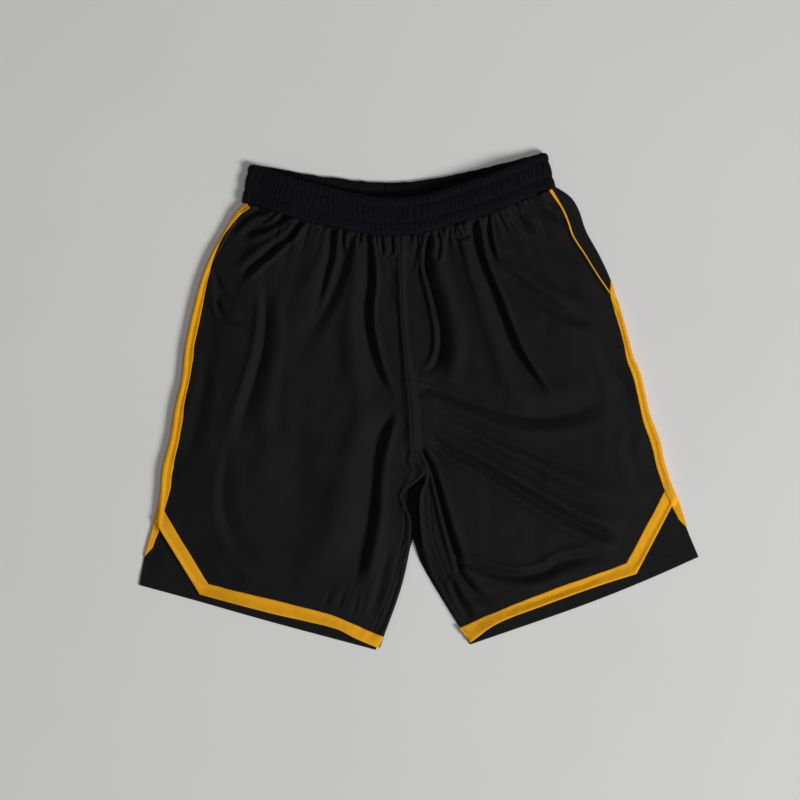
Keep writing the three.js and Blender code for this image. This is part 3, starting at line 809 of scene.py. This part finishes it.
def make_back(name):
    leg = LEGS[name]
    inner, _ = seam_then_inseam(BACK_SEAM, leg["back_inseam_line"])
    u, v = columns_of(110), rows_of(200)
    plan = patch(leg["back_waist_line"], leg["back_hem_line"], inner, leg["back_side_line"].at, u, v)
    grid = np.dstack([plan, back_height(leg, plan)])
    uvs = uv_grid(u[None, :] * 280 * leg["side"], -v[:, None] * 520)
    obj = grid_object(f"sewn_back_{name}", grid, uvs)
    face_up(obj)
    return obj


backs = {name: make_back(name) for name in LEGS}
for back in backs.values():
    solidify(back, KNIT, -1)

back_surface = Surface(*backs.values())
front_surface = Surface(*fronts.values())
garment = Surface(*fronts.values(), *backs.values())


# ---- Waistband ----------------------------------------------------------------------------

BAND_SHARES = np.linspace(0, 1, 620)
TACK_SHARES = (0.345, 0.6085)
BACK_MIDDLE = 2.6
CORNER_MIDDLE = 7.2
FRONT_MIDDLE = LOFT_WAIST + 1.6
HALF_THICK = 2.1
PINCHED = 0.8  # half the casing's thickness at a row of stitches


def front_middle(share):
    return CORNER_MIDDLE + (FRONT_MIDDLE - CORNER_MIDDLE) * ease(np.minimum(share, 1 - share) / 0.15)


def band_stations():
    """Once round: top and bottom points, middle height, outer normal and place along the cloth."""
    shares = BAND_SHARES
    ones = np.ones_like(shares)
    front = (FRONT_TOP.at(shares), FRONT_SEAM.at(shares), front_middle(shares), 0 * ones, ones)
    back = (BACK_TOP.at(shares[::-1]), BACK_SEAM.at(shares[::-1]), BACK_MIDDLE * ones, 0 * ones, -ones)
    corners = []
    for share, side in ((1.0, 1), (0.0, -1)):
        turn = np.linspace(0, math.pi, 11)[1:-1]
        if side < 0:
            turn = turn[::-1]
        radius = (CORNER_MIDDLE - BACK_MIDDLE) / 2
        out = np.stack([side * (radius + 1.2) * np.sin(turn), 0 * turn], -1)
        middle = BACK_MIDDLE + radius * (1 + np.cos(turn))
        corners.append(
            (FRONT_TOP.at(share) + out, FRONT_SEAM.at(share) + out, middle, side * np.sin(turn), np.cos(turn))
        )
    runs = [front, corners[0], back, corners[1]]
    return [np.concatenate([run[k] for run in runs]) for k in range(5)]


def pucker(along, down, seed):
    """Upright gathers of the shirred band: round ridges between pinched valleys."""
    drift = 0.8 * wave_noise(along, 11, seed) + 0.05 * down * wave_noise(along, 17, seed + 1)
    ridge = 1 - np.abs(np.sin(math.pi * (along / 4.9 + drift))) ** 0.8
    power = 0.65 + 0.35 * wave_noise(along + 3 * down, 9, seed + 2)
    return 1 - 1.6 * power * ridge


def make_band():
    top, bottom, middle, nx, nz = band_stations()
    ends = (top + bottom) / 2
    along = np.r_[0, np.cumsum(np.hypot(*np.diff(ends, axis=0).T) + np.abs(np.diff(middle)))]
    down = np.concatenate([np.linspace(0, BAND_HEIGHT, 34), np.linspace(BAND_HEIGHT, 0, 34)])
    faces_out = np.repeat([1.0, -1.0], 34)
    a, d = along[:, None], down[None, :]
    share = np.where(d < BAND_STITCHES[0], 0, np.where(d < BAND_STITCHES[1], 1, 2))
    lows = np.array([0, *BAND_STITCHES])[share]
    highs = np.array([*BAND_STITCHES, BAND_HEIGHT])[share]
    arch = np.clip(4 * (d - lows) * (highs - d) / (highs - lows) ** 2, 0, 1) ** 0.55
    ripple = np.choose(share, [pucker(a, d, 31), pucker(a, d, 41), pucker(a, d, 51)])
    strength = np.choose(share, [0.75, 1.05, 0.7]) * arch
    for tack in TACK_SHARES:
        gap = np.abs(a - tack * along[len(BAND_SHARES) - 1])
        strength = np.where(share == 1, strength * ease((gap - 3.2) / 2.0), strength)
    edge = ease(np.minimum(d, BAND_HEIGHT - d) / 1.6)
    half = (0.35 + 0.65 * edge) * (PINCHED + (HALF_THICK - PINCHED) * arch)
    offset = faces_out[None] * half + strength * (ripple - 0.5) * 1.15 + 0.25 * wave_noise(a, 30, 61)
    lip = 0.5 * wave_noise(a, 7, 62) * np.clip(1 - d / 6, 0, 1)
    part = (d + lip)[..., None] / BAND_HEIGHT
    plan = top[:, None] * (1 - part) + bottom[:, None] * part
    grid = np.dstack([
        plan[..., 0] + nx[:, None] * offset,
        plan[..., 1],
        middle[:, None] + nz[:, None] * offset,
    ])
    grid[..., 2] = np.maximum(grid[..., 2], FLOOR_CLEAR)
    uvs = uv_grid(a * 1.45, -d * faces_out[None])
    return grid_object("sewn_waistband", grid, uvs, closed_rows=True, closed_columns=True)


band = make_band()
band_surface = Surface(band)


# ---- Tapes --------------------------------------------------------------------------------

def smooth_along(values, window=9):
    kernel = np.hanning(window + 2)[1:-1]
    kernel /= kernel.sum()
    padded = np.pad(values, [(window // 2, window // 2), (0, 0)], mode="edge")
    return np.stack([np.convolve(column, kernel, "valid") for column in padded.T], -1)


TOP_SHARES = np.linspace(0, 1, 10)


def folded_strip(name, outer, inner, tops, bottom, under, thickness, bulge=1.0, grain=0.0):
    """A strip from its inner edge across the cloth, round the outline and a little way under it.

    outer and inner are the strip's edges in plan, tops the heights across it, bottom the height of
    the part under the cloth, and under that part's width.
    """
    width = np.linalg.norm(outer - inner, axis=-1, keepdims=True)
    across = (outer - inner) / np.maximum(width, 1e-3)
    top_z = smooth_along(tops)
    low = np.minimum(np.broadcast_to(bottom, len(outer)), top_z[:, -1] - 0.3)[:, None]
    rows, heights, places = [], [], []
    for k, share in enumerate(TOP_SHARES):
        rows.append(inner + (outer - inner) * share)
        heights.append(top_z[:, k:k + 1])
        places.append(width * share)
    half = (top_z[:, -1:] - low) / 2
    for turn in np.linspace(0, math.pi, 7)[1:]:
        rows.append(outer + across * np.minimum(half, bulge) * math.sin(turn))
        heights.append(low + half * (1 + math.cos(turn)))
        places.append(width + half * turn)
    under = np.broadcast_to(under, len(outer))[:, None]
    for share in (0.35, 0.7, 1.0):
        rows.append(outer - across * under * share)
        heights.append(low)
        places.append(width + math.pi * half + under * share)
    grid = np.dstack([np.stack(rows, 1), np.stack(heights, 1)[..., 0]])
    along = np.r_[0, np.cumsum(np.linalg.norm(np.diff(outer, axis=0), axis=1))]
    grid[..., 2] += grain * wave_noise(along, 13, len(name))[:, None]
    uvs = np.dstack([np.stack(places, 1)[..., 0], np.broadcast_to(along[:, None], grid.shape[:2])])
    obj = grid_object(name, grid, uvs)
    solidify(obj, thickness, 0)
    return obj


def tops_on(surface, outer, inner, lift, keep_in=1.0):
    """Heights across a strip that lies on a surface, read a little inside of the outline."""
    width = np.linalg.norm(outer - inner, axis=-1, keepdims=True)
    limit = 1 - np.minimum(keep_in / np.maximum(width, 1e-3), 0.5)
    rows = [inner + (outer - inner) * np.minimum(share, limit) for share in TOP_SHARES]
    return surface.heights(np.stack(rows, 1)) + lift


def line_inside(line, widths, side, count):
    """The outline, and a second line inside of it at the widths given against the outline's y."""
    shares = np.linspace(0, 1, count)
    outer = line.at(shares)
    ys, ws = zip(*sorted(widths))
    width = np.interp(outer[:, 1], ys, ws)[:, None]
    width += 0.25 * wave_noise(shares * line.length, 9, 71)[:, None] * np.clip(width / 8, 0, 1)
    flat = np.maximum(width - EDGE_ROLL - TAPE_THICK / 2, 0.3)
    return outer, outer - side * line.side(shares) * flat


TAPE_REST = TAPE_THICK / 2 + 0.08
TAPE_FLOOR = FLOOR_CLEAR + TAPE_THICK / 2

SIDE_TAPES = {
    "right": {
        "line": SIDE_RIGHT[:-1],
        "widths": [
            (222, 8), (212, 6.5), (198, 4), (184, 2.5), (171, 3.8), (158, 5), (144, 7), (131, 8.3),
            (117, 9.5),
            (91, 11), (64, 10.3), (50, 11.5), (23, 9.3), (10, 9.3), (-17, 11.5), (-57, 11), (-71, 13),
            (-97, 11.5), (-111, 9.6), (-124, 9), (-143, 8.5), (-162, 7.5), (-173, 2),
        ],
    },
    "left": {
        "line": SIDE_LEFT[5:-1],
        "widths": [
            (135, 0.6), (127, 4.5), (118, 7), (104, 8), (77, 7.3), (64, 7.3), (50, 8.3), (37, 10), (10, 9.5),
            (-17, 10.2), (-44, 11.5), (-71, 10.5), (-97, 10.5), (-111, 10), (-118, 9.5), (-130, 7.5),
            (-140, 2),
        ],
    },
}
HEM_TAPES = {
    "right": {
        "outer": [
            [(-45, -275), (-70, -264.2), (-91.5, -253.4), (-125, -244.8), (-164, -236), (-244.5, -215)],
            [(-244.5, -215), (-282, -154), (-295, -132)],
        ],
        "inner": [
            [(-39, -263), (-67, -251), (-91.5, -240.2), (-125, -230.4), (-164, -221), (-235, -204)],
            [(-235, -204), (-268, -149.5), (-286, -119)],
        ],
    },
    "left": {
        "outer": [
            [(57.5, -269), (88.5, -247), (138.5, -227.5), (195.5, -207), (243.3, -192)],
            [(243.3, -192), (277.5, -126.5), (288, -105.5)],
        ],
        "inner": [
            [(44.5, -253), (81.5, -236.8), (138.5, -213.8), (189.5, -195.8), (232, -180.8)],
            [(232, -180.8), (264, -120.2), (277.6, -93.5)],
        ],
    },
}


def make_side_tape(name):
    spec = SIDE_TAPES[name]
    outer, inner = line_inside(Line(spec["line"]), spec["widths"], LEGS[name]["side"], 240)
    tops = tops_on(garment_and_hems, outer, inner, TAPE_REST)
    width = np.linalg.norm(outer - inner, axis=-1)
    under = np.clip(TAPE - width, 1.5, TAPE)
    obj = folded_strip(f"sewn_side_tape_{name}", outer, inner, tops, TAPE_FLOOR, under, TAPE_THICK, 1.1, 0.12)
    return finish_piece(obj, YELLOW, "yellow_tape", f"side_tape_{name}")


def make_hem_tape(name):
    spec = HEM_TAPES[name]
    counts = (170, 60)
    outer = np.vstack([Line(run).at(np.linspace(0, 1, n)) for run, n in zip(spec["outer"], counts)])
    inner = np.vstack([Line(run).at(np.linspace(0, 1, n)) for run, n in zip(spec["inner"], counts)])
    apart = np.r_[True, np.linalg.norm(np.diff(outer, axis=0), axis=1) > 1e-6]
    outer, inner = outer[apart], inner[apart]
    along = np.r_[0, np.cumsum(np.linalg.norm(np.diff(outer, axis=0), axis=1))]
    inner = inner + (inner - outer) / TAPE * (0.3 * wave_noise(along, 11, 72)[:, None] - TAPE_THICK / 2)
    tops = tops_on(garment, outer, inner, TAPE_REST)
    bottom = smooth_along(tops)[:, -1] - KNIT - TAPE_THICK - 0.2
    obj = folded_strip(f"sewn_hem_tape_{name}", outer, inner, tops, bottom, 5.0, TAPE_THICK, 0.5, 0.15)
    return finish_piece(obj, YELLOW, "yellow_tape", f"hem_tape_{name}")


def make_open_facing():
    """The back of the open pocket: a strip that shows beside the mouth and rolls round the outline."""
    shares = np.linspace(0, 1, 150)
    outer = Line(SIDE_LEFT[:7]).at(shares)
    mouth = Line(MOUTH_LEFT + [(222, 100)])
    inner = mouth.at(shares) - (7, 3)
    arch = np.sin(math.pi * TOP_SHARES) ** 0.8
    start = np.interp(shares, [0, 0.1, 0.85, 1], [4.6, 4.4, 3.4, 2.6])[:, None]
    tops = start + 1.3 * arch[None] + 0.25 * wave_noise(shares * 160, 17, 73)[:, None]
    obj = folded_strip("sewn_facing_left", outer, inner, tops, FLOOR_CLEAR + 0.45, 9.0, KNIT, 1.0)
    return finish_piece(obj, BLACK, "black_knit", "pocket_facing_left")


hem_tapes = {name: make_hem_tape(name) for name in LEGS}
facing_left = make_open_facing()
garment_and_hems = Surface(*fronts.values(), *backs.values(), *hem_tapes.values(), facing_left)
side_tapes = {name: make_side_tape(name) for name in LEGS}
tape_surface = Surface(*side_tapes.values(), *hem_tapes.values())


def make_piping():
    """The narrow edge of the side tape that shows along the open pocket mouth."""
    line = Line(MOUTH_LEFT[:-1] + [(214, 121)])
    shares = np.linspace(0, 1, 150)
    outer = line.at(shares) + line.side(shares) * 0.5
    width = np.interp(shares, [0, 0.2, 0.6, 1], [3.0, 1.4, 0.8, 0.7])[:, None]
    inner = outer - line.side(shares) * width
    tops = tops_on(garment, outer, inner, TAPE_REST, 1.6)
    bottom = smooth_along(tops)[:, -1] - KNIT - TAPE_THICK - 0.2
    obj = folded_strip("pocket_piping_left", outer, inner, tops, bottom, 2.5, 0.5, 0.4)
    return finish_piece(obj, YELLOW, "yellow_tape")


piping = make_piping()


# ---- Pocket pieces ------------------------------------------------------------------------

def make_hidden_sheet(name, leg, box_u, box_v, thickness, level):
    """A flat piece between the front and the back, at a level of the room between them."""
    u, v = np.linspace(*box_u, 40), np.linspace(*box_v, 60)
    inner, _ = seam_then_inseam(FRONT_SEAM, leg["inseam_line"])
    plan = patch(leg["waist_line"], leg["hem_line"], inner, leg["outer_line"].at, u, v)
    low = back_surface.heights(plan) + 0.35
    high = front_surface.undersides(plan) - thickness - 0.35
    grid = np.dstack([plan, np.minimum(low + (high - low) * level, high)])
    uvs = uv_grid(u[None, :] * 265, -v[:, None] * 500)
    obj = grid_object(name, grid, uvs)
    face_up(obj)
    solidify(obj, thickness, 1)
    return obj


facing_right = finish_piece(
    make_hidden_sheet("sewn_facing_right", LEGS["right"], (0.80, 0.97), (0.02, 0.30), 0.6, 0.75),
    BLACK, "black_knit", "pocket_facing_right",
)
bags = {
    name: finish_piece(
        make_hidden_sheet(f"sewn_pocket_bag_{name}", LEGS[name], (0.42, 0.93), (0.02, 0.50), 0.8, 0.3),
        LINING_CLOTH, "black_lining", f"pocket_bag_{name}",
    )
    for name in LEGS
}


# ---- Elastic, label and stitching ---------------------------------------------------------

def make_elastic():
    top, bottom, middle, nx, nz = band_stations()
    ends = (top + bottom) / 2
    along = np.r_[0, np.cumsum(np.hypot(*np.diff(ends, axis=0).T) + np.abs(np.diff(middle)))]
    down = np.r_[np.linspace(1.6, BAND_HEIGHT - 1.6, 12), np.linspace(BAND_HEIGHT - 1.6, 1.6, 12)]
    offset = np.repeat([0.3, -0.3], 12)[None]
    part = np.broadcast_to((down / BAND_HEIGHT)[None, :, None], (len(along), 24, 1))
    plan = top[:, None] * (1 - part) + bottom[:, None] * part
    grid = np.dstack([
        plan[..., 0] + nx[:, None] * offset, plan[..., 1], middle[:, None] + nz[:, None] * offset,
    ])
    uvs = uv_grid(along[:, None], down[None])
    obj = grid_object("sewn_elastic", grid, uvs, closed_rows=True, closed_columns=True)
    return finish_piece(obj, ELASTIC, "elastic_webbing", "waist_elastic")


LABEL_WIDTH, LABEL_DROP = 29.0, 32.0


def make_label():
    """A plain woven label on the inside of the back waistband."""
    middle = BACK_TOP.at(0.5)
    across = np.linspace(-LABEL_WIDTH / 2, LABEL_WIDTH / 2, 34)
    down = np.linspace(2.0, LABEL_DROP, 36)
    plan = uv_grid(middle[0] + across[None], middle[1] - down[:, None])
    heights = smooth_along(smooth_along(back_band_surface.heights(plan)).T).T
    edge = np.minimum(down - 2.0, LABEL_DROP - down)
    grid = np.dstack([plan, heights + 0.35 + 0.25 * ease(edge / 5)[:, None]])
    uvs = uv_grid(across[None], -down[:, None])
    obj = grid_object("sewn_label", grid, uvs)
    face_up(obj)
    solidify(obj, 0.35, 1)
    return finish_piece(obj, LABEL_CLOTH, "label", "waist_label")


def back_of_band():
    """The band's back half as a surface of its own, since the front half hides it from above."""
    points = points_of(band)
    columns = 68
    start = len(BAND_SHARES) + 9
    rows = np.arange(start, start + len(BAND_SHARES))
    grid = points.reshape(-1, columns, 3)[rows]
    helper = grid_object("helper", grid)
    surface = Surface(helper)
    bpy.data.objects.remove(helper, do_unlink=True)
    return surface


back_band_surface = back_of_band()
elastic = make_elastic()
label = make_label()


def on_surface(surface, line, lift=0.0, count=None):
    shares = np.linspace(0, 1, count or max(20, int(line.length / 1.5)))
    plan = line.at(shares)
    return np.column_stack([plan, surface.heights(plan) + lift])


def band_rows():
    rows = []
    for drop in BAND_STITCHES:
        part = drop / BAND_HEIGHT
        shares = np.linspace(0.004, 0.996, 420)
        plan = FRONT_TOP.at(shares) * (1 - part) + FRONT_SEAM.at(shares) * part
        rows.append(np.column_stack([plan, smooth_along(band_surface.heights(plan)[:, None], 5)[:, 0]]))
    return rows


def back_band_rows():
    rows = []
    for drop in BAND_STITCHES:
        part = drop / BAND_HEIGHT
        shares = np.linspace(0.02, 0.98, 300)
        plan = BACK_TOP.at(shares) * (1 - part) + BACK_SEAM.at(shares) * part
        rows.append(np.column_stack([plan, back_band_surface.heights(plan)]))
    return rows


def tack_rows(share):
    rows = []
    for shift in (-1.3, 1.3):
        top, bottom = FRONT_TOP.at(share), FRONT_SEAM.at(share)
        ends = [top + (bottom - top) * drop / BAND_HEIGHT for drop in BAND_STITCHES]
        rows.append(on_surface(band_surface, Line([tuple(end + (shift, 0)) for end in ends]), 0.05))
    return rows


def along_tape(outer, inner, share):
    return outer * share + inner * (1 - share)


def hem_join_rows(name):
    spec = HEM_TAPES[name]
    outer, inner = Line(spec["outer"][0]), Line(spec["inner"][0])
    rows = []
    for far in (21.0, 23.5):
        start, end = inner.at(far / inner.length), outer.at(far / outer.length)
        line = Line([tuple(start + (end - start) * 0.04), tuple(start + (end - start) * 0.94)])
        rows.append(on_surface(tape_surface, line, 0.05, 24))
    return rows


def hem_tape_rows(name):
    """Edge stitching on the hem tape, and the mitre across its corner."""
    spec = HEM_TAPES[name]
    rows = []
    for outer_run, inner_run in zip(spec["outer"], spec["inner"]):
        outer, inner = Line(outer_run), Line(inner_run)
        shares = np.linspace(0.01, 0.97, 160)
        for part in (0.1, 0.87):
            plan = along_tape(outer.at(shares), inner.at(shares), part)
            heights = smooth_along(tape_surface.heights(plan)[:, None], 5)[:, 0]
            rows.append(np.column_stack([plan, heights]))
    corner_in, corner_out = np.array(spec["inner"][0][-1]), np.array(spec["outer"][0][-1])
    rows.append(on_surface(tape_surface, Line([tuple(corner_in), tuple(corner_out)]), 0, 24))
    return rows


def side_tape_rows(name):
    spec = SIDE_TAPES[name]
    outer, inner = line_inside(Line(spec["line"]), spec["widths"], LEGS[name]["side"], 300)
    width = np.linalg.norm(outer - inner, axis=-1)
    across = (outer - inner) / width[:, None]
    wide = width > 4.5
    plan = (inner + across * 1.3)[wide]
    heights = smooth_along(tape_surface.heights(plan)[:, None], 5)[:, 0]
    return [np.column_stack([plan, heights])]


band_stitching = stitches("waistband_stitching", band_rows() + back_band_rows(), pitch=2.6, length=1.9)
tacks = {
    "right": stitches("stitched_tack_right", tack_rows(TACK_SHARES[0]), nodes=("waistband_tack_right",)),
    "left": stitches("stitched_tack_left", tack_rows(TACK_SHARES[1]), nodes=("waistband_tack_left",)),
}
joins = {
    name: stitches(
        f"stitched_join_{name}", hem_join_rows(name), 2.2, 1.6, 0.2, nodes=(f"hem_tape_join_{name}",),
    )
    for name in LEGS
}
tape_stitching = {
    name: stitches(
        f"tape_stitching_{name}", hem_tape_rows(name) + side_tape_rows(name), 2.6, 1.9, 0.17,
        slot="yellow_tape", material=YELLOW_THREAD,
    )
    for name in LEGS
}
fly_bar = stitches(
    "stitched_fly_bar",
    [on_surface(garment, Line([(-12, 29 - k), (2, 24.5 - k), (15, 22 - k)]), 0.1) for k in (0.0, 1.6)],
    pitch=2.4, radius=0.34, nodes=("fly_bar_stitch",),
)


def seam_rows():
    """Double rows beside the centre seam, and the turned back hems."""
    rows = []
    shares = np.linspace(0.02, 0.97, 260)
    for shift in (-3.4, 3.4):
        plan = CENTRE_LINE.at(shares) + CENTRE_LINE.side(shares) * shift
        low = plan[:, 1] < 26 if shift > 0 else plan[:, 1] < 200
        rows.append(np.column_stack([plan, garment.heights(plan)])[low])
    for leg in LEGS.values():
        hem = leg["back_hem_line"]
        shares = np.linspace(0.02, 0.98, 260)
        plan = hem.at(shares) + leg["side"] * hem.side(shares) * (HEM_TURN - 1.5)
        rows.append(np.column_stack([plan, back_surface.heights(plan)]))
    return rows


seam_stitching = stitches("seam_stitching", seam_rows(), pitch=2.8, length=2.0, radius=0.18)

finish_piece(band, BAND_BLACK, "black_knit", "waistband_casing")
for name in LEGS:
    finish_piece(fronts[name], BLACK, "black_knit", f"front_panel_{name}")
    finish_piece(backs[name], BLACK, "black_knit", f"back_panel_{name}")


# ---- Floor, light and camera --------------------------------------------------------------

def make_floor():
    mesh = bpy.data.meshes.new("floor")
    half = 14.0
    corners = [(-half, -half, 0), (half, -half, 0), (half, half, 0), (-half, half, 0)]
    mesh.from_pydata(corners, [], [(0, 1, 2, 3)])
    floor = bpy.data.objects.new("floor", mesh)
    bpy.context.scene.collection.objects.link(floor)
    n = Nodes("floor")
    grain = n.noise(n.object_place(), 3.0)
    n.set(Base_Color=n.mix(grain, (0.63, 0.63, 0.625), (0.68, 0.68, 0.675)))
    n.set(Roughness=0.9, Specular_IOR_Level=0.15)
    mesh.materials.append(n.material)


def area_light(name, place, size, power, target=(0, 0, 0)):
    data = bpy.data.lights.new(name, "AREA")
    data.shape = "DISK"
    data.size = size
    data.energy = power
    light = bpy.data.objects.new(name, data)
    light.location = place
    light.rotation_euler = (Vector(target) - Vector(place)).to_track_quat("-Z", "Y").to_euler()
    bpy.context.scene.collection.objects.link(light)


def make_camera():
    data = bpy.data.cameras.new("camera")
    data.sensor_width = 36
    data.lens = 36 * CAMERA_HEIGHT / FRAME_WIDTH
    camera = bpy.data.objects.new("camera", data)
    camera.location = (*CAMERA_OVER, CAMERA_HEIGHT)
    bpy.context.scene.collection.objects.link(camera)
    bpy.context.scene.camera = camera


CAMERA_OVER = (-0.0207, 0.0017)
CAMERA_HEIGHT = 3.2
FRAME_WIDTH = 0.896

make_floor()
make_camera()
area_light("key", (5.4, -2.9, 4.0), 2.5, 568)
area_light("fill", (-2.0, 1.5, 3.0), 1.6, 7)
area_light("top", (0.5, 0.1, 3.4), 1.4, 17)

bpy.context.scene.view_settings.view_transform = "Standard"

world = bpy.data.worlds.new("studio")
world.use_nodes = True
world.node_tree.nodes["Background"].inputs[0].default_value = (1, 1, 1, 1)
world.node_tree.nodes["Background"].inputs[1].default_value = 0.1
bpy.context.scene.world = world
